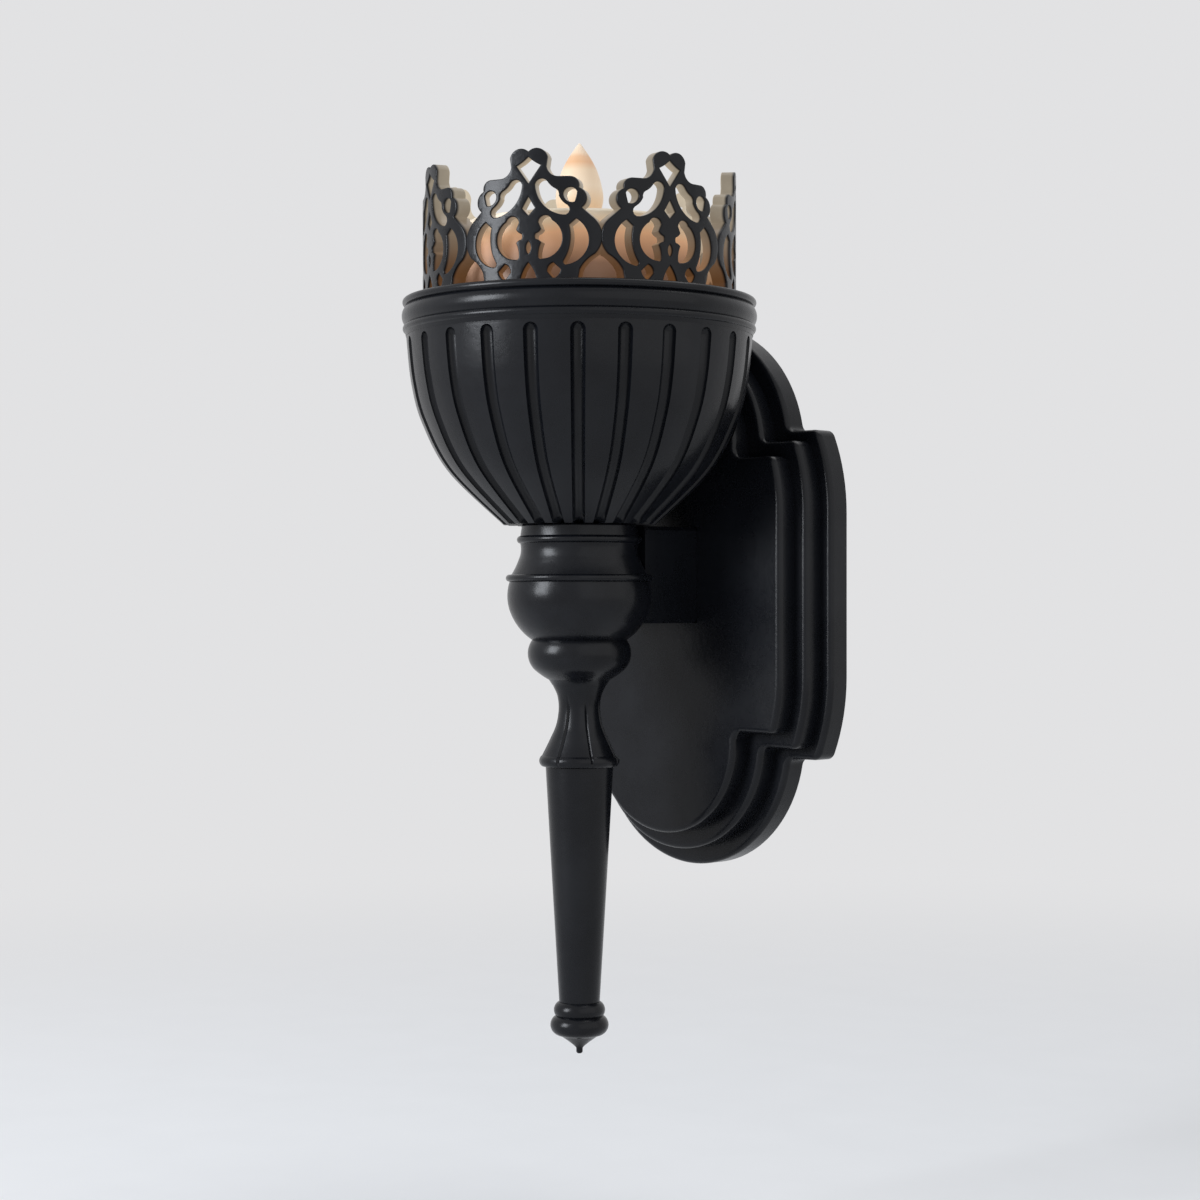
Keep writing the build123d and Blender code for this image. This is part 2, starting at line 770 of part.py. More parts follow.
case_radius = tealight_diameter / 2
case_wall = 1.3
case_bottom = candle_seat_top
case_top = case_bottom + tealight_body_height
foot_recess = 0.9
floor_level = case_bottom + foot_recess
floor_thickness = 1.4
cell_radius = 10.0
cell_thickness = 3.2
cell_offset = -3.2
door_radius = cell_radius + 1.0
door_thickness = 1.0
door_ear = 3.2
ear_depth = 6.4
ear_hole = 1.2                  # beyond the edge of the door
switch_place = 13.2
switch_travel = 2.0
switch_knob_length = 2.6
switch_knob_width = 2.4
flame_base_radius = 3.6
flame_tip = 71.3
dish_level = case_top - 2.2
top_thickness = 1.2
lamp_radius = 1.5
lamp_flange_radius = 1.95
lamp_height = 5.0


def in_case(shape):
    """Carry a shape to the tealight's own axis, which is the column's."""
    return on_column(shape)


def make_tealight_case():
    shell = ring(case_radius, case_radius - case_wall, tealight_body_height)
    lowest = shell.edges().group_by(Axis.Z)[0]
    shell = chamfer(lowest.sort_by(SortBy.RADIUS)[-1], 0.3)
    case = Pos(0, 0, case_bottom) * shell
    floor = extrude(Circle(case_radius - case_wall + 0.1), floor_thickness)
    case += Pos(0, 0, floor_level) * floor
    well = ring(cell_radius + 1.5, cell_radius + 0.3, 4.6)
    case += Pos(0, cell_offset, floor_level + floor_thickness - 0.1) * well
    door_hole = Cylinder(door_radius - 0.7, 3)
    case -= Pos(0, cell_offset, floor_level + floor_thickness / 2) * door_hole
    door_seat = Cylinder(door_radius + 0.15, 2 * door_thickness)
    case -= Pos(0, cell_offset, floor_level) * door_seat
    ear_seat = Box(2 * door_ear + 0.3, ear_depth + 0.3, 2 * door_thickness)
    case -= Pos(0, cell_offset - door_radius, floor_level) * ear_seat
    ear_place = cell_offset - door_radius - ear_hole
    boss = Cylinder(1.7, 3)
    case += Pos(0, ear_place, floor_level + floor_thickness + 1.4) * boss
    screw_hole = Cylinder(0.8 + bore_gap, 6)
    case -= Pos(0, ear_place, floor_level + 2) * screw_hole
    slot = Box(switch_travel + switch_knob_length + 2 * slide_gap, switch_knob_width + 2 * slide_gap, 6)
    case -= Pos(0, switch_place, floor_level + 1) * slot
    return solid_of(in_case(case))


def make_tealight_top():
    """A dished disc with a raised rim that drops into the case."""
    outer = case_radius - case_wall - socket_gap
    hole = flame_base_radius - 0.55
    outline = [
        Polyline(
            (hole, dish_level - top_thickness),
            (outer - 1.2, dish_level - top_thickness),
            (outer - 1.2, case_top - 6.5),
            (outer, case_top - 6.5),
            (outer, case_top),
        ),
        Polyline(
            (outer, case_top),
            (case_radius - 0.35, case_top),
        ),
        ThreePointArc(
            (case_radius - 0.35, case_top),
            (case_radius - 0.75, case_top + 0.45),
            (case_radius - 1.5, case_top + 0.35),
        ),
        ThreePointArc(
            (case_radius - 1.5, case_top + 0.35),
            (case_radius - 4.8, dish_level + 0.75),
            (case_radius - 9.0, dish_level + 0.1),
        ),
        Polyline(
            (case_radius - 9.0, dish_level + 0.1),
            (hole, dish_level),
            (hole, dish_level - top_thickness),
        ),
    ]
    return solid_of(in_case(turned(outline)))


flame_belly_radius = 3.77
flame_belly_level = flame_tip - 8.9


def flame_curve():
    """The pointed drop of the flame, from its waist on the dished top up to the tip."""
    return Spline(
        (flame_base_radius - 0.25, dish_level + 0.05),
        (flame_base_radius - 0.4, dish_level + 2.2),
        (flame_belly_radius - 0.3, flame_belly_level - 1.6),
        (flame_belly_radius, flame_belly_level),
        (3.5, flame_tip - 6.7),
        (2.9, flame_tip - 4.6),
        (1.95, flame_tip - 2.65),
        (1.02, flame_tip - 1.2),
        (0.15, flame_tip),
    )


def make_flame():
    """A hollow drop over the lamp, with a neck and a flange under the top."""
    neck_radius = flame_base_radius - 0.55 - socket_gap
    neck_bottom = dish_level - top_thickness
    outline = [
        Polyline((0, dish_level + 0.05), (flame_base_radius - 0.25, dish_level + 0.05)),
        flame_curve(),
        Polyline((0.15, flame_tip), (0, flame_tip), (0, dish_level + 0.05)),
    ]
    flame = turned(outline)
    flame += Pos(0, 0, neck_bottom) * extrude(Circle(neck_radius), top_thickness + 0.1)
    flame += Pos(0, 0, neck_bottom - 0.9) * extrude(Circle(neck_radius + 1.4), 0.9)
    bore = lamp_flange_radius + 0.15
    flame -= Pos(0, 0, neck_bottom - 1) * extrude(Circle(bore), 5.4)
    flame -= Pos(0, 0, neck_bottom + 4.4) * Sphere(bore)
    return solid_of(in_case(flame))


lamp_base = dish_level - top_thickness - 0.6


def make_lamp():
    flange = extrude(Circle(lamp_flange_radius), 0.8)
    body = extrude(Circle(lamp_radius), lamp_height)
    lamp = flange + body
    lamp = fillet(lamp.edges().group_by(Axis.Z)[-1], lamp_radius - 0.05)
    return solid_of(in_case(Pos(0, 0, lamp_base) * lamp))


cell_bottom = floor_level + door_thickness + 0.15
contact_width = 0.9
contact_thickness = 0.5


def make_cell():
    cell = extrude(Circle(cell_radius), cell_thickness)
    cell = fillet(cell.edges().group_by(Axis.Z)[0], 0.5)
    step = ring(cell_radius + 1, cell_radius - 1.0, 0.4)
    cell -= Pos(0, 0, -0.05) * step
    return solid_of(in_case(Pos(0, cell_offset, cell_bottom) * cell))


def make_cell_contact():
    """The lamp's first leg: down from the lamp and flat over the top of the cell."""
    top = cell_bottom + cell_thickness + 0.02
    post_height = lamp_base - top - 0.02
    post = Pos(-1.0, 0, top + post_height / 2) * Box(contact_thickness, contact_thickness, post_height)
    foot = Pos(-1.0 - 3, 0, top + contact_thickness / 2) * Box(6, contact_width, contact_thickness)
    return solid_of(in_case(post + foot))


def make_switch_contact():
    """The lamp's second leg: across to the switch and down beside the cell."""
    beam_level = cell_bottom + cell_thickness + 2.2
    post_height = lamp_base - beam_level - 0.02
    post = Pos(1.0, 0, beam_level + post_height / 2) * Box(contact_thickness, contact_thickness, post_height)
    run = switch_place - 2.2
    beam = Pos(1.0, run / 2, beam_level + contact_thickness / 2)
    beam = beam * Box(contact_width, run + contact_thickness, contact_thickness)
    drop_height = beam_level - floor_level - floor_thickness - 2.2
    drop = Pos(1.0, run, beam_level - drop_height / 2 + 0.1)
    drop = drop * Box(contact_width, contact_thickness, drop_height)
    return solid_of(in_case(post + beam + drop))


def make_door():
    door = extrude(Circle(door_radius), door_thickness - 0.05)
    ear = extrude(Rectangle(2 * door_ear, ear_depth), door_thickness - 0.05)
    door += Pos(0, -door_radius, 0) * ear
    door -= Pos(0, -door_radius - ear_hole, 0) * Cylinder(0.8 + bore_gap, 8)
    coin = extrude(RectangleRounded(8, 1.4, 0.6), 0.4)
    door -= coin
    return solid_of(in_case(Pos(0, cell_offset, floor_level) * door))


def make_door_screw():
    shank = Pos(0, 0, 2.1) * Cylinder(0.8, 4.2)
    head = Pos(0, 0, -0.35) * Cylinder(1.5, 0.7)
    screw = shank + head - Pos(0, 0, -0.7) * Box(0.5, 2.2, 0.7) - Pos(0, 0, -0.7) * Box(2.2, 0.5, 0.7)
    place = Pos(0, cell_offset - door_radius - ear_hole, floor_level)
    return solid_of(in_case(place * screw))


def make_switch_knob():
    """A ribbed thumb slide under the floor with its carrier plate above the floor."""
    stem_height = floor_thickness + 2 * slide_gap
    start = -switch_travel / 2
    stem = Box(switch_knob_length, switch_knob_width, stem_height + 0.2)
    stem = Pos(0, 0, stem_height / 2 + 0.1) * stem
    plate = Box(6.6, 3.6, 0.9)
    knob = stem + Pos(0, 0, stem_height + 0.45) * plate
    for index in (-1, 0, 1):
        knob -= Pos(index * 0.8, 0, 0) * Box(0.35, 4, 0.3)
    level = floor_level - slide_gap
    return solid_of(in_case(Pos(start, switch_place, level) * knob))


def main():
    save("wall_plaque", [make_plaque()])
    save("hanger_plates", make_hanger_plates())
    save("hanger_screws", make_hanger_screws())
    save("arm", [make_arm()])
    save("arm_screws", make_arm_screws())
    save("hub", [make_hub()])
    save("knop", [make_knop()])
    save("fluted_neck", [make_fluted_neck()])
    save("tapered_shaft", [make_tapered_shaft()])
    save("finial", [make_finial()])
    save("tie_rod", [make_tie_rod()])
    save("tie_washer", [make_tie_washer()])
    save("tie_nut", [make_tie_nut()])
    save("fluted_bowl", [make_fluted_bowl()])
    save("rim_ring", [make_rim_ring()])
    save("candle_seat", [make_candle_seat()])
    save("crown_gallery", [make_crown_gallery()])
    save("tealight_case", [make_tealight_case()])
    save("tealight_top", [make_tealight_top()])
    save("flame_lens", [make_flame()])
    save("lamp", [make_lamp()])
    save("cell_contact", [make_cell_contact()])
    save("switch_contact", [make_switch_contact()])
    save("coin_cell", [make_cell()])
    save("cell_door", [make_door()])
    save("door_screw", [make_door_screw()])
    save("switch_knob", [make_switch_knob()])


main()
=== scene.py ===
from math import cos, hypot, pi, radians, sin, sqrt

import bmesh
import bpy
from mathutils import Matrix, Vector


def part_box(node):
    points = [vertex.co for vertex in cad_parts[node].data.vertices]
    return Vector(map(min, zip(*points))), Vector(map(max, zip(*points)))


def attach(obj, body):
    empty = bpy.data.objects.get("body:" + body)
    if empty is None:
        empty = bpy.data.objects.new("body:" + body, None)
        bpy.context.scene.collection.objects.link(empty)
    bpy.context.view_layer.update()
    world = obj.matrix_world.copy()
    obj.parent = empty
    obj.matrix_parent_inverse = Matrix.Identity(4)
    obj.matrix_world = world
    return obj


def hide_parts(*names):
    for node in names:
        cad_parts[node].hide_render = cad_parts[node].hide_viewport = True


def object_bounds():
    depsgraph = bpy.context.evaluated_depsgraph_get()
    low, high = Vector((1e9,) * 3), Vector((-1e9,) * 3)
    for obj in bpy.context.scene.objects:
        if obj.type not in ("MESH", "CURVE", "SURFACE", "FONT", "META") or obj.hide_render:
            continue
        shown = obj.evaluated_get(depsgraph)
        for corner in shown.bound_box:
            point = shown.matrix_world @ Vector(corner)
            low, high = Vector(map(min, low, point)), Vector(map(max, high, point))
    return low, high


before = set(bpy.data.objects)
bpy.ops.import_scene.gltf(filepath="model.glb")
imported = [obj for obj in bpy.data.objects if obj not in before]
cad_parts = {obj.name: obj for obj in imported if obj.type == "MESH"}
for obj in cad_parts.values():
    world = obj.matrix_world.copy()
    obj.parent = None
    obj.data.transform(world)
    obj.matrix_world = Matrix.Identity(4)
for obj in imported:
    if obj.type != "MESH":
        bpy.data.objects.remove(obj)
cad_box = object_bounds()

# Wall plaque. One black-painted casting of three stacked plates, each a wide rectangle with a
# round lobe above and below, its edges rounded by the mould. A hollow in the upper lobe clears
# the bowl, and two keyhole plates are let into the back.


class Wire:
    """A socket in a node tree, on which arithmetic adds Math nodes."""

    def __init__(self, nodes, socket):
        self.nodes = nodes
        self.socket = socket

    def math(self, operation, *values):
        return self.nodes.add("ShaderNodeMath", {"operation": operation}, dict(enumerate(values)))

    def __add__(self, other):
        return self.math("ADD", self, other)

    def __radd__(self, other):
        return self.math("ADD", other, self)

    def __sub__(self, other):
        return self.math("SUBTRACT", self, other)

    def __rsub__(self, other):
        return self.math("SUBTRACT", other, self)

    def __mul__(self, other):
        return self.math("MULTIPLY", self, other)

    def __rmul__(self, other):
        return self.math("MULTIPLY", other, self)

    def __truediv__(self, other):
        return self.math("DIVIDE", self, other)

    def __rtruediv__(self, other):
        return self.math("DIVIDE", other, self)

    def __pow__(self, other):
        return self.math("POWER", self, other)

    def __rpow__(self, other):
        return self.math("POWER", other, self)

    def highest(self, other):
        return self.math("MAXIMUM", self, other)

    def over(self, low, high):
        """0 below low, 1 above high, and smooth between them."""
        inputs = {"Value": self, "From Min": low, "From Max": high}
        return self.nodes.add("ShaderNodeMapRange", {"interpolation_type": "SMOOTHSTEP"}, inputs)


class Nodes:
    """A node tree, and the one way in which this file adds a node to it."""

    def __init__(self, tree):
        self.tree = tree

    def put(self, socket, value):
        if isinstance(value, Wire):
            self.tree.links.new(value.socket, socket)
        else:
            socket.default_value = value

    def add(self, kind, settings=None, inputs=None, output=0):
        """Any node: its settings first, then the values or links of its sockets."""
        node = self.tree.nodes.new(kind)
        for key, value in (settings or {}).items():
            if key == "stops":
                ramp = node.color_ramp
                while len(ramp.elements) < len(value):
                    ramp.elements.new(0.5)
                for element, (place, colour) in zip(ramp.elements, value):
                    element.position = place
                    element.color = colour
            else:
                setattr(node, key, value)
        for key, value in (inputs or {}).items():
            self.put(node.inputs[key], value)
        return Wire(self, node.outputs[output] if node.outputs else None)


class Paint(Nodes):
    """A material with one Principled shader; constants go on its sockets."""

    def __init__(self, name, **constants):
        self.material = bpy.data.materials.new(name)
        self.material.use_nodes = True
        super().__init__(self.material.node_tree)
        self.shader = self.tree.nodes["Principled BSDF"]
        for socket, value in constants.items():
            self.feed(socket.replace("_", " "), value)

    def feed(self, socket, value):
        self.put(self.shader.inputs[socket], value)

    def place(self):
        """The point on the piece, in metres, in the frame of its body."""
        return self.add("ShaderNodeTexCoord", output="Object")

    def axis(self, letter):
        return self.add("ShaderNodeSeparateXYZ", inputs={"Vector": self.place()}, output=letter)

    def from_axis(self, centre_x=0.0, centre_y=0.0):
        """How far a point is from an upright line, in metres."""
        across = self.axis("X") - centre_x
        along = self.axis("Y") - centre_y
        return (across * across + along * along) ** 0.5

    def noise(self, scale, detail=3.0, roughness=0.5, stretch=(1.0, 1.0, 1.0)):
        point = self.add("ShaderNodeMapping", inputs={"Vector": self.place(), "Scale": stretch})
        inputs = {"Vector": point, "Scale": scale, "Detail": detail, "Roughness": roughness}
        return self.add("ShaderNodeTexNoise", inputs=inputs)

    def mottle(self, scale):
        """The slow, cloudy changes over a sprayed casting."""
        return self.noise(scale, detail=4.0, roughness=0.6)

    def vector(self, operation, first, second, output=0):
        inputs = {0: first, 1: second}
        return self.add("ShaderNodeVectorMath", {"operation": operation}, inputs, output)

    def blend(self, factor, first, second):
        """A mix of two colours."""
        inputs = {0: factor, 6: first, 7: second}
        return self.add("ShaderNodeMix", {"data_type": "RGBA"}, inputs, output=2)

    def ramp(self, factor, stops):
        """A colour that runs through its stops as the factor goes from 0 to 1."""
        return self.add("ShaderNodeValToRGB", {"stops": stops}, {"Fac": factor})

    def bump(self, height, depth):
        """Fine relief on the surface, its depth in metres."""
        inputs = {"Height": height, "Distance": depth, "Strength": 1.0}
        self.feed("Normal", self.add("ShaderNodeBump", inputs=inputs))


def satin_black(name, mottle_scale, sheen=0.28, peel_share=0.7, peel_depth=0.00004):
    """Sprayed black enamel on a casting: a fine orange peel and slow changes of gloss."""
    thin_coat, full_coat = (0.0034, 0.0039, 0.0055, 1.0), (0.0048, 0.0056, 0.0078, 1.0)
    enamel = Paint(name, Specular_IOR_Level=0.2, Coat_Roughness=0.16)
    mottle = enamel.mottle(mottle_scale)
    speckle = enamel.noise(1500.0, detail=2.0)
    peel = enamel.noise(420.0, detail=1.0)
    enamel.feed("Base Color", enamel.blend(mottle.over(0.3, 0.7), thin_coat, full_coat))
    enamel.feed("Roughness", sheen + (mottle - 0.5) * 0.16 + (speckle - 0.5) * 0.08)
    enamel.feed("Coat Weight", 0.04 + mottle.over(0.35, 0.75) * 0.06)
    enamel.bump(peel * peel_share + speckle * (1 - peel_share), peel_depth)
    return enamel


def dress(obj, body, paint, nodes):
    """Give a new piece its material and its body, and hide the nodes that it stands for."""
    obj.data.materials.clear()
    obj.data.materials.append(paint.material)
    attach(obj, body)
    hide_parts(*nodes)


def paint_node(node, paint):
    """Give a carried-over CAD node its material."""
    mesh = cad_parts[node].data
    mesh.materials.clear()
    mesh.materials.append(paint.material)
    for face in mesh.polygons:
        face.material_index = 0


paint_node("wall_plaque", satin_black("plaque_black_enamel", mottle_scale=60.0))


# Keyhole plates and their screws. Thin zinc-plated steel stampings, flush with the plaque's
# back, each held by two small countersunk screws.


def zinc_plate(name, tone=(0.58, 0.59, 0.62, 1.0), roughness=0.34):
    """Bright plating on steel: a fine drawn grain, faint spangle and a little dulling."""
    dull = tuple(0.8 * value for value in tone[:3]) + (1.0,)
    plating = Paint(name, Metallic=1.0)
    grain = plating.noise(600.0, detail=3.0, stretch=(1.0, 1.0, 14.0))
    spangle = plating.noise(260.0, detail=1.0)
    plating.feed("Base Color", plating.blend(spangle.over(0.35, 0.65), dull, tone))
    plating.feed("Roughness", roughness + (grain - 0.5) * 0.22)
    plating.bump(grain, 0.00002)
    return plating


hanger_zinc = zinc_plate("hanger_zinc")
screw_zinc = zinc_plate("screw_zinc", roughness=0.28)
paint_node("hanger_plates", hanger_zinc)
paint_node("hanger_screws", screw_zinc)


# Arm. A square bar with small bevels, cast and painted black, that stands out from a socket in
# the plaque and has a round tenon in the hub. Two screws hold it from the back of the plaque.

paint_node("arm", satin_black("arm_black_enamel", mottle_scale=110.0))
paint_node("arm_screws", screw_zinc)


# Hub. A small bell with two thin beads over a ball, cast, turned and painted black. The arm's
# tenon goes into it from the back, and the tie rod holds it between the bowl and the knop.

MM = 0.001
bowl_low, bowl_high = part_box("fluted_bowl")
column = Vector(((bowl_low.x + bowl_high.x) / 2, (bowl_low.y + bowl_high.y) / 2, 0.0))


def arc(start, through, end, steps=None):
    """Points along the circle through three points, without the first one.

    Without a number of steps, they are about 0.28 mm long, and four or more."""
    (ax, ay), (bx, by), (cx, cy) = start, through, end
    steps = steps or max(4, int(hypot(cx - ax, cy - ay) / 0.28))
    d = 2 * (ax * (by - cy) + bx * (cy - ay) + cx * (ay - by))
    if abs(d) < 1e-9:
        return [end]
    a2, b2, c2 = ax * ax + ay * ay, bx * bx + by * by, cx * cx + cy * cy
    ux = (a2 * (by - cy) + b2 * (cy - ay) + c2 * (ay - by)) / d
    uy = (a2 * (cx - bx) + b2 * (ax - cx) + c2 * (bx - ax)) / d
    first = Vector((ax - ux, ay - uy))
    middle = Vector((bx - ux, by - uy))
    last = Vector((cx - ux, cy - uy))
    turn = first.angle_signed(middle) + middle.angle_signed(last)
    points = []
    for step in range(1, steps + 1):
        angle = -turn * step / steps
        x = ux + first.x * cos(angle) - first.y * sin(angle)
        y = uy + first.x * sin(angle) + first.y * cos(angle)
        points.append((x, y))
    return points


def outline(start, *runs):
    """A line from its first point along plain end points and (through, end, steps) arcs."""
    line = [start]
    for run in runs:
        line += arc(line[-1], *run) if isinstance(run[0], tuple) else [run]
    return line


def round_point(radius, angle, height):
    """A point beside the column, its angle counted from the front."""
    return radius * sin(angle), -radius * cos(angle), height


def mesh_piece(name, vertices, faces, sharp=34.0):
    """A mesh object from millimetre points about the column, smooth between its real edges."""
    data = bpy.data.meshes.new(name)
    places = [(x * MM + column.x, y * MM + column.y, z * MM) for x, y, z in vertices]
    data.from_pydata(places, [], faces)
    edit = bmesh.new()
    edit.from_mesh(data)
    bmesh.ops.remove_doubles(edit, verts=edit.verts, dist=0.001 * MM)
    bmesh.ops.recalc_face_normals(edit, faces=edit.faces)
    edit.to_mesh(data)
    edit.free()
    data.shade_smooth()
    data.set_sharp_from_angle(angle=radians(sharp))
    obj = bpy.data.objects.new(name, data)
    bpy.context.scene.collection.objects.link(obj)
    return obj


def turned(name, profile, around=144, shape=None, sharp=34.0):
    """A turned piece from a closed (radius, height) profile in millimetres.

    shape(radius, height, angle) may return a changed (radius, height)."""
    vertices = []
    for radius, height in profile:
        for index in range(around):
            angle = 2 * pi * index / around
            r, z = shape(radius, height, angle) if shape else (radius, height)
            vertices.append(round_point(r, angle, z))
    on_axis = [radius < 1e-6 for radius, height in profile]
    faces = []
    for row in range(len(profile)):
        below = (row + 1) % len(profile)
        if on_axis[row] and on_axis[below]:
            continue
        for index in range(around):
            after = (index + 1) % around
            a, b = row * around + index, row * around + after
            c, d = below * around + after, below * around + index
            if on_axis[row]:
                faces.append((a, c, d))
            elif on_axis[below]:
                faces.append((a, b, d))
            else:
                faces.append((a, b, c, d))
    return mesh_piece(name, vertices, faces, sharp)


def level_of(node):
    """The lowest and highest level of a node, in millimetres."""
    low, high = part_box(node)
    return low.z / MM, high.z / MM


hub_bottom, hub_top = level_of("hub")
hub_profile = outline(
    (0, hub_top), (8.9, hub_top),
    ((9.15, 10.9), (9.15, 10.6), 3),
    (9.35, 9.3),
    ((9.9, 8.7), (9.35, 8.1), 8),
    ((9.25, 7.1), (9.6, 5.6), 8),
    ((10.1, 4.4), (10.75, 3.2), 6),
    (11.05, 3.2),
    ((11.64, 2.65), (11.05, 2.1), 10),
    ((11.4, 0.0), (10.75, -3.2), 12),
    ((9.3, -5.5), (7.5, hub_bottom), 12),
    (0, hub_bottom),
)
hub = turned("turned_hub", hub_profile)
hub_black = satin_black("hub_black_enamel", mottle_scale=130.0)
dress(hub, "sconce", hub_black, ["hub"])


# Knop. The small flattened ball under the hub, turned and painted black. It is threaded on the
# tie rod like a bead.

knop_bottom, knop_top = level_of("knop")
knop_profile = outline(
    (0, knop_top), (7.5, knop_top),
    ((8.17, -9.4), (7.06, -11.85), 14),
    ((6.1, -12.6), (4.82, -13.4), 8),
    (4.3, knop_bottom), (0, knop_bottom),
)
knop = turned("turned_knop", knop_profile)
knop_black = satin_black("knop_black_enamel", mottle_scale=150.0)
dress(knop, "sconce", knop_black, ["knop"])


# Fluted neck. A waisted trumpet with seven narrow creases and a rolled lip at its foot, cast and
# painted black. The tie rod clamps it between the knop and the shaft.

neck_bottom, neck_top = level_of("fluted_neck")
petal_count = 7
crease_phase = radians(12.7)
crease_width = 0.3
crease_top = -15.6
crease_foot = -26.7
fade_top = 3.0
fade_foot = 0.4


def creased(radius, height, angle):
    """Press the creases into the trumpet, fading at their two ends."""
    if radius < 2.0 or height > neck_top - 0.1 or height < crease_foot:
        return radius, height
    pitch = 2 * pi / petal_count
    away = (angle - crease_phase + pitch / 2) % pitch - pitch / 2
    across = abs(away) * radius
    ends = min(1.0, (crease_top - height) / fade_top, (height - crease_foot) / fade_foot)
    depth = max(0.0, ends) * max(0.0, crease_width - across)
    return radius - depth, height


neck_line = [(4.25, neck_top), (3.5, -15.9), (3.28, -18.0)]
neck_line += [(3.68, -20.5), (4.71, -22.9), (5.9, -25.3)]


def curve_through(points, steps):
    """A smooth curve through points, Catmull-Rom, without the first one."""
    padded = [points[0]] + list(points) + [points[-1]]
    line = []
    for p0, p1, p2, p3 in zip(padded, padded[1:], padded[2:], padded[3:]):
        for step in range(1, steps + 1):
            t = step / steps
            row = []
            for a, b, c, d in zip(p0, p1, p2, p3):
                cubic = (-a + 3 * b - 3 * c + d) * t ** 3
                square = (2 * a - 5 * b + 4 * c - d) * t ** 2
                row.append(0.5 * (cubic + square + (c - a) * t + 2 * b))
            line.append(tuple(row))
    return line


neck_profile = [(0, neck_top), neck_line[0]] + curve_through(neck_line, 12)
neck_profile += arc(neck_line[-1], (6.35, -26.05), (5.95, neck_bottom), 12)
neck_profile += [(0, neck_bottom)]
neck = turned("creased_neck", neck_profile, around=petal_count * 72, shape=creased, sharp=50.0)
neck_black = satin_black("neck_black_enamel", mottle_scale=150.0)
dress(neck, "sconce", neck_black, ["fluted_neck"])


# Tapered shaft. A long plain cone, turned and painted black, and bored through for the tie rod.
# It stands on the finial and carries the neck.

shaft_bottom, shaft_top = level_of("tapered_shaft")
shaft_profile = outline(
    (0, shaft_top), (5.2, shaft_top),
    ((5.32, -27.05), (5.35, -27.2), 3),
    (5.1, -31.5), (4.56, -41.0), (4.0, -50.6), (3.22, -64.0),
    (3.18, shaft_bottom), (0, shaft_bottom),
)
shaft = turned("tapered_shaft_turning", shaft_profile, around=112)
shaft_black = satin_black("shaft_black_enamel", mottle_scale=80.0)
dress(shaft, "sconce", shaft_black, ["tapered_shaft"])


# Finial. A bead, a flattened ball and a small nub in one turning, painted black. It is screwed
# on the lower end of the tie rod, and so closes the shaft.

finial_bottom, finial_top = level_of("finial")
finial_profile = outline(
    (0, finial_top), (3.3, finial_top),
    ((4.05, -65.45), (3.75, -66.4), 12),
    ((4.6, -67.95), (3.07, -69.5), 16),
    ((2.0, -70.25), (0.9, -71.1), 8),
    (0.56, -71.45), (0.52, -71.6), (0.52, -72.0),
    ((0.42, -72.28), (0.2, finial_bottom), 5),
    (0, finial_bottom),
)
finial = turned("finial_turning", finial_profile, around=112)
finial_black = satin_black("finial_black_enamel", mottle_scale=170.0)
dress(finial, "sconce", finial_black, ["finial"])


# Tie rod, washer and nut. Plain zinc-plated steel. The rod runs from the finial up through the
# column, and the nut on its washer inside the bowl draws all the pieces together.

rod_zinc = zinc_plate("rod_zinc", roughness=0.3)
for part in ("tie_rod", "tie_washer", "tie_nut"):
    paint_node(part, rod_zinc)


# Fluted bowl. A deep hollow casting, painted black, with twenty-four round-headed flutes that
# run down to a flat foot, where their ends show as small notches. It stands on the hub, held by
# the nut of the tie rod.

rim_bottom = 40.6
bowl_foot = bowl_low.z / MM
bowl_line = [(12.05, bowl_foot), (20.6, 19.3), (24.76, 26.9), (26.5, 33.2), (27.3, rim_bottom)]
bowl_curve = [bowl_line[0]] + curve_through(bowl_line, 24)
flute_count = 24
flute_pitch = 2 * pi / flute_count
flute_head_level = 39.0
flute_head_half = 1.15
flute_foot_half = 0.95
flute_length = flute_head_level - bowl_foot


def bowl_point(height):
    """The outside of the bowl at a level: its radius and its outward slope."""
    for (r0, z0), (r1, z1) in zip(bowl_curve, bowl_curve[1:]):
        if height <= z1 + 1e-6:
            share = (height - z0) / (z1 - z0)
            return r0 + (r1 - r0) * share, Vector((z1 - z0, r0 - r1)).normalized()


def flute_half(height):
    """Half the width of a flute at a level, closing in a round head."""
    along = (height - bowl_foot) / flute_length
    half = flute_foot_half + (flute_head_half - flute_foot_half) * min(along, 1.0)
    past = max(0.0, height - flute_head_level)
    return sqrt(max(0.0, half * half - past * past))


def skin(rows, around):
    """Faces between rings of points, each ring joined to the next and the last to the first."""
    faces = []
    for row in range(rows):
        here, below = row * around, (row + 1) % rows * around
        for index in range(around):
            after = (index + 1) % around
            faces.append((here + index, here + after, below + after, below + index))
    return faces


groove_steps = 14
land_steps = 6
body_rows = 110
head_rows = 12
bowl_around = flute_count * (groove_steps + land_steps)
bowl_levels = [bowl_foot + flute_length * row / body_rows for row in range(body_rows)]
for row in range(head_rows + 1):
    bowl_levels.append(flute_head_level + flute_head_half * sin(pi / 2 * row / head_rows))
bowl_levels.append(rim_bottom)
bowl_vertices = []
for height in bowl_levels:
    radius, slope = bowl_point(height)
    half = flute_half(height)
    land = flute_pitch - 2 * half / radius
    for flute in range(flute_count):
        centre = flute * flute_pitch
        for step in range(groove_steps):
            across = -half * cos(pi * step / groove_steps)
            depth = sqrt(max(0.0, half * half - across * across))
            angle = centre + across / radius
            r, z = radius - slope.x * depth, height - slope.y * depth
            bowl_vertices.append(round_point(r, angle, z))
        for step in range(land_steps):
            angle = centre + half / radius + land * step / land_steps
            bowl_vertices.append(round_point(radius, angle, height))
mouth_radius = 24.8
bowl_floor = 14.06
rod_bore = 1.65
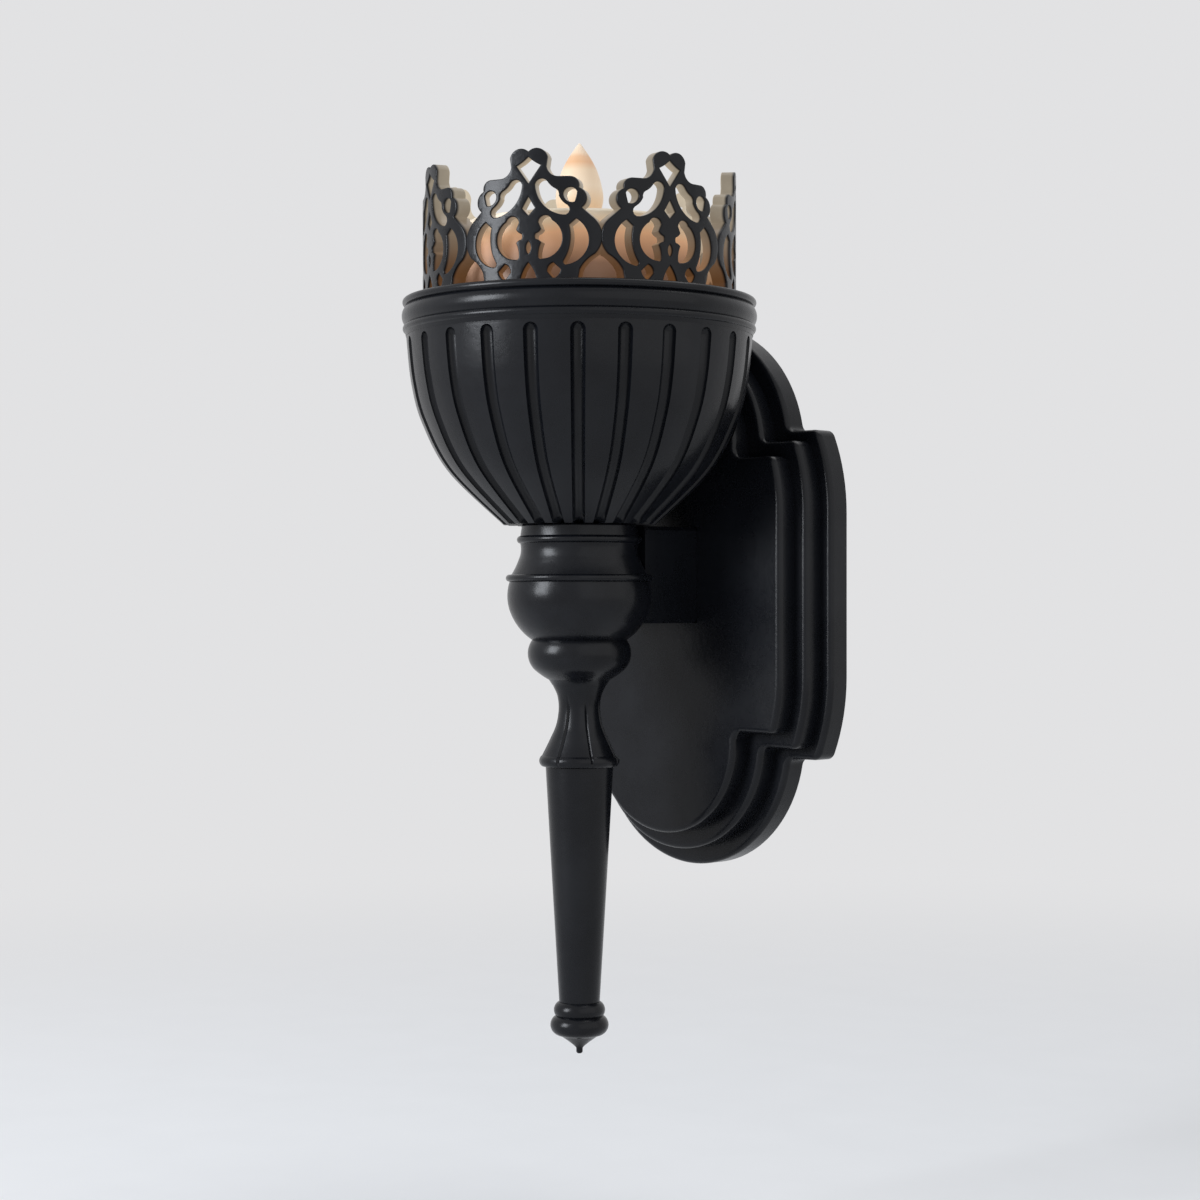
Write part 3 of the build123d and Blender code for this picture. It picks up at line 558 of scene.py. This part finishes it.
inner_line = [(mouth_radius, 38.1), (23.8, 33.2), (21.86, 27.5), (17.0, 20.9), (9.65, bowl_floor)]
inner_profile = [(mouth_radius, rim_bottom), inner_line[0]] + curve_through(inner_line, 6)
inner_profile += [(rod_bore, bowl_floor), (rod_bore, bowl_foot)]
for radius, height in inner_profile:
    for index in range(bowl_around):
        bowl_vertices.append(round_point(radius, 2 * pi * index / bowl_around, height))
bowl_faces = skin(len(bowl_levels) + len(inner_profile), bowl_around)
bowl = mesh_piece("fluted_bowl_casting", bowl_vertices, bowl_faces, sharp=40.0)
bowl_black = satin_black("bowl_black_enamel", mottle_scale=60.0)
dress(bowl, "sconce", bowl_black, ["fluted_bowl"])


# Rim ring. A turned black-painted ring with a bead, a swelling band and a second bead. Its
# spigot sits in the mouth of the bowl, and it is stepped inside for the seat and the crown.

spigot_foot, rim_top = level_of("rim_ring")
rim_profile = outline(
    (24.75, rim_top), (27.2, rim_top),
    ((27.9, 45.95), (27.35, 45.3), 12),
    ((28.0, 43.8), (27.5, 42.35), 14),
    ((27.85, 41.75), (27.5, 41.2), 8),
    (27.35, rim_bottom), (24.7, rim_bottom),
    (24.7, spigot_foot), (23.1, spigot_foot),
    (20.2, 41.2), (20.2, 43.1), (22.25, 43.1), (22.25, 44.8), (24.75, 44.8),
)
rim = turned("rim_ring_turning", rim_profile, around=192)
rim_black = satin_black("rim_black_enamel", mottle_scale=60.0)
dress(rim, "sconce", rim_black, ["rim_ring"])


# Candle seat. A disc pressed from thin steel sheet and painted a duller black, with a low ridge
# round the candle's foot. It lies on the lower step inside the rim ring.

paint_node("candle_seat", satin_black("seat_black_enamel", mottle_scale=120.0, sheen=0.45))


# Crown gallery. Seven pierced palmettes cast in one black-painted ring that stands in the rim,
# their edges softened by the mould. The candle's light on the inside of the ring and on the walls
# of its openings is painted into the enamel as a glow.

crown_outer = 24.7
crown_wall = 2.2
crown_inner = crown_outer - crown_wall
crown_foot = level_of("crown_gallery")[0]
motif_count = 7
motif_pitch = 2 * pi / motif_count
motif_phase = radians(27.5)
motif_half = crown_outer * sin(motif_pitch / 2)


def mirror_line(half):
    """Close a right-hand outline that starts and ends on the axis with its mirror image."""
    return half + [(-x, y) for x, y in reversed(half) if abs(x) > 1e-6]


palmette = mirror_line(outline(
    (0, 19.2),
    ((1.45, 19.68), (2.95, 18.3)),
    (2.75, 16.9),
    ((3.35, 15.85), (4.6, 15.4)),
    (6.3, 15.4),
    ((7.3, 14.85), (7.5, 13.75)),
    ((8.6, 12.3), (7.9, 10.75)),
    (9.6, 9.2),
    ((motif_half - 0.02, 6.6), (9.7, 3.9)),
    ((8.3, 2.7), (7.6, 1.6)),
    (7.3, 0), (7.3, -0.8), (0, -0.8),
))
kite = mirror_line(outline((0, 18.4), ((0.85, 17.7), (1.9, 17.1)), (0, 14.45)))
drop = mirror_line(outline((0, 12.5), (1.0, 10.8), (0, 9.7)))
arch = mirror_line(outline((0, 2.75), ((0.85, 1.5), (1.35, 0)), (1.35, -1.2), (0, -1.2)))
tear = mirror_line(outline((0, 5.9), ((0.4, 4.8), (0, 4.0))))
kidney = outline(
    (1.0, 14.3),
    ((1.95, 15.1), (2.9, 14.65)),
    ((3.5, 13.95), (4.2, 13.5)),
    ((4.55, 13.1), (4.6, 12.5)),
    ((5.1, 11.7), (5.85, 11.1)),
    ((6.1, 10.1), (5.2, 9.7)),
    ((2.4, 11.1), (1.0, 14.3)),
)
ear = outline(
    (7.25, 13.1),
    ((6.25, 13.75), (5.25, 12.9)),
    ((5.8, 11.75), (6.9, 11.6)),
    ((7.1, 12.3), (7.25, 13.1)),
)
leaf = outline(
    (1.5, 8.7),
    ((2.4, 9.65), (3.6, 8.9)),
    ((5.1, 6.6), (2.1, 3.25)),
    ((1.65, 3.3), (1.5, 3.65)),
    ((1.6, 4.7), (1.95, 5.7)),
    ((1.55, 6.05), (1.1, 6.2)),
    ((0.98, 6.6), (1.1, 7.0)),
    ((1.6, 7.25), (1.95, 7.7)),
    (1.5, 8.7),
)
crescent = outline(
    (7.1, 9.1),
    ((8.75, 6.9), (5.6, 2.3)),
    ((5.3, 2.5), (5.25, 2.85)),
    ((6.25, 5.6), (6.1, 8.2)),
    (7.1, 9.1),
)
foot_drop = outline(
    (3.8, 2.65),
    ((3.05, 2.1), (2.85, 1.35)),
    (3.8, 0.25),
    ((4.55, 0.8), (4.9, 1.6)),
    (3.8, 2.65),
)
openings = [kite, drop, arch, tear]
for window in (kidney, ear, leaf, crescent, foot_drop):
    openings += [window, [(-x, y) for x, y in window]]


def far_enough(first, second):
    """Whether two points of a line are far enough apart to keep both."""
    return hypot(first[0] - second[0], first[1] - second[1]) > 0.02


# The palmette is drawn flat, as a filled curve with rounded edges.

edge_round = 0.16
flat = bpy.data.curves.new("palmette_outline", "CURVE")
flat.dimensions = "2D"
flat.fill_mode = "BOTH"
flat.extrude = crown_wall / 2 - edge_round
flat.bevel_depth = edge_round
flat.bevel_resolution = 2
flat.offset = -edge_round
for line in [palmette] + openings:
    points = [line[0]]
    for point in line[1:]:
        if far_enough(point, points[-1]):
            points.append(point)
    if not far_enough(points[0], points[-1]):
        points.pop()
    spline = flat.splines.new("POLY")
    spline.points.add(len(points) - 1)
    for spot, (x, y) in zip(spline.points, points):
        spot.co = (x, y, 0, 1)
    spline.use_cyclic_u = True
sketch = bpy.data.objects.new("palmette_outline", flat)
bpy.context.scene.collection.objects.link(sketch)
bpy.context.view_layer.update()
drawn = sketch.evaluated_get(bpy.context.evaluated_depsgraph_get())
motif_mesh = bpy.data.meshes.new_from_object(drawn)
bpy.data.objects.remove(sketch)

# It is cut into upright slices, so that it can be bent to the ring.

slices = 34
strip = bmesh.new()
strip.from_mesh(motif_mesh)
bmesh.ops.remove_doubles(strip, verts=strip.verts, dist=0.001)
for index in range(1, slices):
    x = -motif_half + 2 * motif_half * index / slices
    geometry = strip.verts[:] + strip.edges[:] + strip.faces[:]
    bmesh.ops.bisect_plane(strip, geom=geometry, dist=1e-5, plane_co=(x, 0, 0), plane_no=(1, 0, 0))
bmesh.ops.triangulate(strip, faces=[face for face in strip.faces if len(face.verts) > 4])
strip.verts.ensure_lookup_table()
motif_points = [tuple(vertex.co) for vertex in strip.verts]
motif_faces = [tuple(vertex.index for vertex in face.verts) for face in strip.faces]
strip.free()

# Seven bent palmettes stand on one plain band, which goes down into the rim.

crown_vertices = []
crown_faces = []
for motif in range(motif_count):
    turn = motif_phase + motif * motif_pitch
    base = len(crown_vertices)
    for x, up, out in motif_points:
        reach = crown_outer - crown_wall / 2 + out
        y = -sqrt(reach * reach - x * x)
        turned_x, turned_y = x * cos(turn) - y * sin(turn), x * sin(turn) + y * cos(turn)
        crown_vertices.append((turned_x, turned_y, rim_top + up))
    crown_faces += [tuple(base + index for index in face) for face in motif_faces]
band = [(crown_inner, crown_foot), (crown_outer, crown_foot)]
band += [(crown_outer, rim_top), (crown_inner, rim_top)]
band_around = 168
base = len(crown_vertices)
for radius, height in band:
    for index in range(band_around):
        crown_vertices.append(round_point(radius, 2 * pi * index / band_around, height))
crown_faces += [tuple(base + index for index in face) for face in skin(len(band), band_around)]
crown = mesh_piece("crown_gallery_casting", crown_vertices, crown_faces, sharp=48.0)

# A painted glow for the candle's light lies inside the outer skin, strongest toward the flame.

crown_mottle = 140.0
crown_black = satin_black(
    "crown_black_enamel_painted_glow", crown_mottle, sheen=0.3, peel_share=0.0, peel_depth=0.00002)
crown_black.feed("Emission Strength", 1.0)
from_column = crown_black.from_axis(column.x, column.y)
inside = 1.0 - from_column.over((crown_outer - 0.6) * MM, (crown_outer - 0.12) * MM)
flame_heart = (column.x, column.y, 0.064)
to_flame = crown_black.vector("SUBTRACT", flame_heart, crown_black.place())
ray = crown_black.vector("NORMALIZE", to_flame, (0, 0, 0))
surface_normal = crown_black.add("ShaderNodeTexCoord", output="Normal")
facing = crown_black.vector("DOT_PRODUCT", ray, surface_normal, output=1)
# Painted candlelight, clouded a little, on the inner faces that look toward the flame.
cloud = 0.6 + crown_black.mottle(crown_mottle) * 0.8
painted_candlelight = inside * (0.3 + facing.over(-0.1, 0.9) * 0.28) * cloud
# The painted glow is amber low in the ring and cream higher up.
height = crown_black.axis("Z").over((rim_top + 1) * MM, (rim_top + 15) * MM)
painted_glow_colour = crown_black.blend(height, (0.34, 0.15, 0.055, 1.0), (0.92, 0.78, 0.58, 1.0))
crown_black.feed("Emission Color", crown_black.blend(painted_candlelight, (0, 0, 0, 1), painted_glow_colour))
dress(crown, "sconce", crown_black, ["crown_gallery"])


# Tealight case and cell door. The candle's round wall and the small door in its foot, moulded in
# a wax-like plastic, cream at the top. Painted shade makes it rosy and dark toward the foot, and a
# painted glow of the lamp inside turns it peach in the middle. One screw holds the door.


def height_share(paint, low, high):
    """0 at a low level and 1 at a high one, both in millimetres."""
    return (paint.axis("Z") - low * MM) / ((high - low) * MM)


# Colours with painted light: shade toward the foot, a peach glow in the middle, cream at the top.
wax_colours_with_painted_light = [
    (0.0, (0.24, 0.16, 0.12, 1.0)),
    (0.43, (0.30, 0.18, 0.118, 1.0)),
    (0.65, (0.58, 0.34, 0.215, 1.0)),
    (0.78, (0.82, 0.51, 0.31, 1.0)),
    (0.9, (0.88, 0.70, 0.50, 1.0)),
    (1.0, (0.87, 0.78, 0.64, 1.0)),
]
# A painted glow, strongest in the peach middle of the case.
wax_painted_glow = [
    (0.0, (0.03, 0.018, 0.012, 1.0)),
    (0.43, (0.06, 0.034, 0.02, 1.0)),
    (0.65, (0.17, 0.095, 0.052, 1.0)),
    (0.78, (0.20, 0.12, 0.068, 1.0)),
    (0.9, (0.10, 0.08, 0.055, 1.0)),
    (1.0, (0.04, 0.036, 0.028, 1.0)),
]
wax = Paint("candle_cream_plastic", Emission_Strength=1.0)
cloud = wax.noise(120.0, detail=3.0)
crumb = wax.noise(900.0, detail=3.0)
wax_share = height_share(wax, *level_of("tealight_case")) + (cloud - 0.5) * 0.12
wax.feed("Base Color", wax.ramp(wax_share, wax_colours_with_painted_light))
wax.feed("Roughness", 0.5 + (cloud - 0.5) * 0.2)
wax.feed("Emission Color", wax.ramp(wax_share, wax_painted_glow))
wax.bump(crumb * 0.4 + cloud * 0.6, 0.00008)
paint_node("tealight_case", wax)
paint_node("cell_door", wax)


# Tealight top. The dished disc that looks like melted wax, with a soft raised rim, moulded in
# the same plastic. It closes the case and holds the flame.

paint_node("tealight_top", wax)


# Flame. A frosted hollow drop with a sharp tip, moulded in clear plastic and set in the middle
# of the top. The lamp lights it from inside: cream, with a peach band below the tip where its
# light is thinnest.

flame_tip = level_of("flame_lens")[1]
flame_height = 16.0
flame_colours = [
    (0.0, (0.68, 0.44, 0.26, 1.0)),
    (0.38, (0.74, 0.57, 0.39, 1.0)),
    (0.56, (0.80, 0.66, 0.50, 1.0)),
    (0.72, (0.76, 0.59, 0.42, 1.0)),
    (0.80, (0.68, 0.40, 0.22, 1.0)),
    (0.86, (0.69, 0.43, 0.25, 1.0)),
    (0.90, (0.74, 0.56, 0.40, 1.0)),
    (1.0, (0.78, 0.64, 0.49, 1.0)),
]
glow_share = 0.16
frosted = Paint("flame_frosted_plastic", Emission_Strength=1.0)
frost = frosted.noise(1600.0, detail=2.0)
flame_share = height_share(frosted, flame_tip - flame_height, flame_tip)
flame_colour = frosted.ramp(flame_share, flame_colours)
frosted.feed("Base Color", flame_colour)
frosted.feed("Emission Color", frosted.blend(glow_share, (0, 0, 0, 1), flame_colour))
frosted.feed("Roughness", 0.3 + frost * 0.2)
frosted.bump(frost, 0.00003)
paint_node("flame_lens", frosted)


# Lamp, contacts, coin cell, door screw and switch. The works inside the candle: a lamp in amber
# resin, tinned contacts, a nickel-plated cell, a plated screw and a ribbed black knob. The case
# and its door hold them.

amber = Paint("lamp_amber_resin", Transmission_Weight=0.6, IOR=1.5, Emission_Strength=0.6)
cloud = amber.noise(900.0, detail=2.0)
amber.feed("Base Color", amber.blend(cloud, (0.95, 0.72, 0.35, 1.0), (1.0, 0.86, 0.6, 1.0)))
amber.feed("Roughness", 0.12 + cloud * 0.15)
amber.feed("Emission Color", amber.blend(cloud, (1.0, 0.62, 0.25, 1.0), (1.0, 0.75, 0.4, 1.0)))
paint_node("lamp", amber)

contact_tin = zinc_plate("contact_tin", tone=(0.66, 0.64, 0.58, 1.0), roughness=0.3)
for part in ("cell_contact", "switch_contact", "door_screw"):
    paint_node(part, contact_tin)
paint_node("coin_cell", zinc_plate("cell_nickel", tone=(0.7, 0.7, 0.7, 1.0), roughness=0.24))

moulded = Paint("switch_black_plastic")
grain = moulded.noise(1400.0, detail=3.0)
black, worn_black = (0.02, 0.02, 0.022, 1.0), (0.045, 0.045, 0.05, 1.0)
moulded.feed("Base Color", moulded.blend(grain, black, worn_black))
moulded.feed("Roughness", 0.5 + grain * 0.2)
moulded.bump(grain, 0.00004)
paint_node("switch_knob", moulded)


# Floor. A plain pale sweep a little below the finial, which isn't part of the object. Away from
# the object it goes over to the backdrop's own colour.

backdrop = (0.76, 0.76, 0.77, 1.0)
ground_gap = 0.03
ground_level = cad_box[0][2] - ground_gap
ground_reach = 4.0
plain_from, plain_to = 0.06, 0.5
corners = [(-1, -1), (1, -1), (1, 1), (-1, 1)]
floor_mesh = bpy.data.meshes.new("floor")
floor_corners = [(x * ground_reach, y * ground_reach, ground_level) for x, y in corners]
floor_mesh.from_pydata(floor_corners, [], [(0, 1, 2, 3)])
floor = bpy.data.objects.new("floor", floor_mesh)
bpy.context.scene.collection.objects.link(floor)
pale = Paint("floor_pale", Roughness=0.9, Specular_IOR_Level=0.1)
grain = pale.noise(60.0, detail=2.0)
pale.feed("Base Color", pale.blend(grain, (0.85, 0.85, 0.86, 1.0), (0.88, 0.88, 0.89, 1.0)))
shaded = Wire(pale, pale.shader.outputs[0])
plain = pale.add("ShaderNodeEmission", inputs={"Color": backdrop})
far = pale.from_axis().over(plain_from, plain_to)
sweep = pale.add("ShaderNodeMixShader", inputs={0: far, 1: shaded, 2: plain})
pale.put(pale.tree.nodes["Material Output"].inputs["Surface"], sweep)
floor_mesh.materials.append(pale.material)


# Light. A soft box at the left front, a large weak one at the right and one above. The even
# surround is pale too, and the eye, gloss and glass see it as the backdrop.

aim_point = Vector((0, -0.03, 0))


def soft_box(name, position, size, power, colour=(1, 1, 1)):
    """A rectangular lamp that faces the object."""
    lamp = bpy.data.lights.new(name, "AREA")
    lamp.shape = "RECTANGLE"
    lamp.size, lamp.size_y = size
    lamp.energy = power
    lamp.color = colour
    obj = bpy.data.objects.new(name, lamp)
    obj.location = position
    obj.rotation_euler = (aim_point - Vector(position)).to_track_quat("-Z", "Y").to_euler()
    bpy.context.scene.collection.objects.link(obj)


soft_box("key_soft_box", (-0.24, -0.77, 0.24), (0.30, 0.42), 6.0, (0.90, 0.94, 1.0))
soft_box("fill_soft_box", (0.85, -0.10, 0.20), (1.40, 1.20), 2.0)
soft_box("top_soft_box", (0.05, 0.20, 0.75), (0.60, 0.60), 1.7)

world = bpy.data.worlds.new("studio")
bpy.context.scene.world = world
world.use_nodes = True
world.node_tree.nodes.clear()
surround = Nodes(world.node_tree)
seen = surround.add("ShaderNodeLightPath", output="Is Camera Ray")
seen = seen.highest(surround.add("ShaderNodeLightPath", output="Is Glossy Ray"))
seen = seen.highest(surround.add("ShaderNodeLightPath", output="Is Transmission Ray"))
sky = {"Color": (0.94, 0.97, 1.0, 1.0), "Strength": 0.42}
ambient = surround.add("ShaderNodeBackground", inputs=sky)
shown = surround.add("ShaderNodeBackground", inputs={"Color": backdrop})
studio = surround.add("ShaderNodeMixShader", inputs={0: seen, 1: ambient, 2: shown})
surround.add("ShaderNodeOutputWorld", inputs={"Surface": studio})


# Camera. Level with the arm and 45 degrees to the right of straight on, as in the photograph,
# with a long lens. It looks a little past the column, so that the object sits as it does there.

view_angle = radians(45)
view_distance = 0.3792
side_shift = 0.00324
view_level = -0.0008
right = Vector((cos(view_angle), sin(view_angle), 0))
ahead = Vector((-sin(view_angle), cos(view_angle), 0))
camera_data = bpy.data.cameras.new("camera")
camera_data.sensor_width = 36.0
camera_data.lens = 72.0
camera_data.clip_start = 0.01
camera = bpy.data.objects.new("camera", camera_data)
camera.location = column + right * side_shift - ahead * view_distance + Vector((0, 0, view_level))
camera.rotation_euler = ahead.to_track_quat("-Z", "Y").to_euler()
bpy.context.scene.collection.objects.link(camera)
bpy.context.scene.camera = camera
bpy.context.scene.view_settings.view_transform = "Standard"
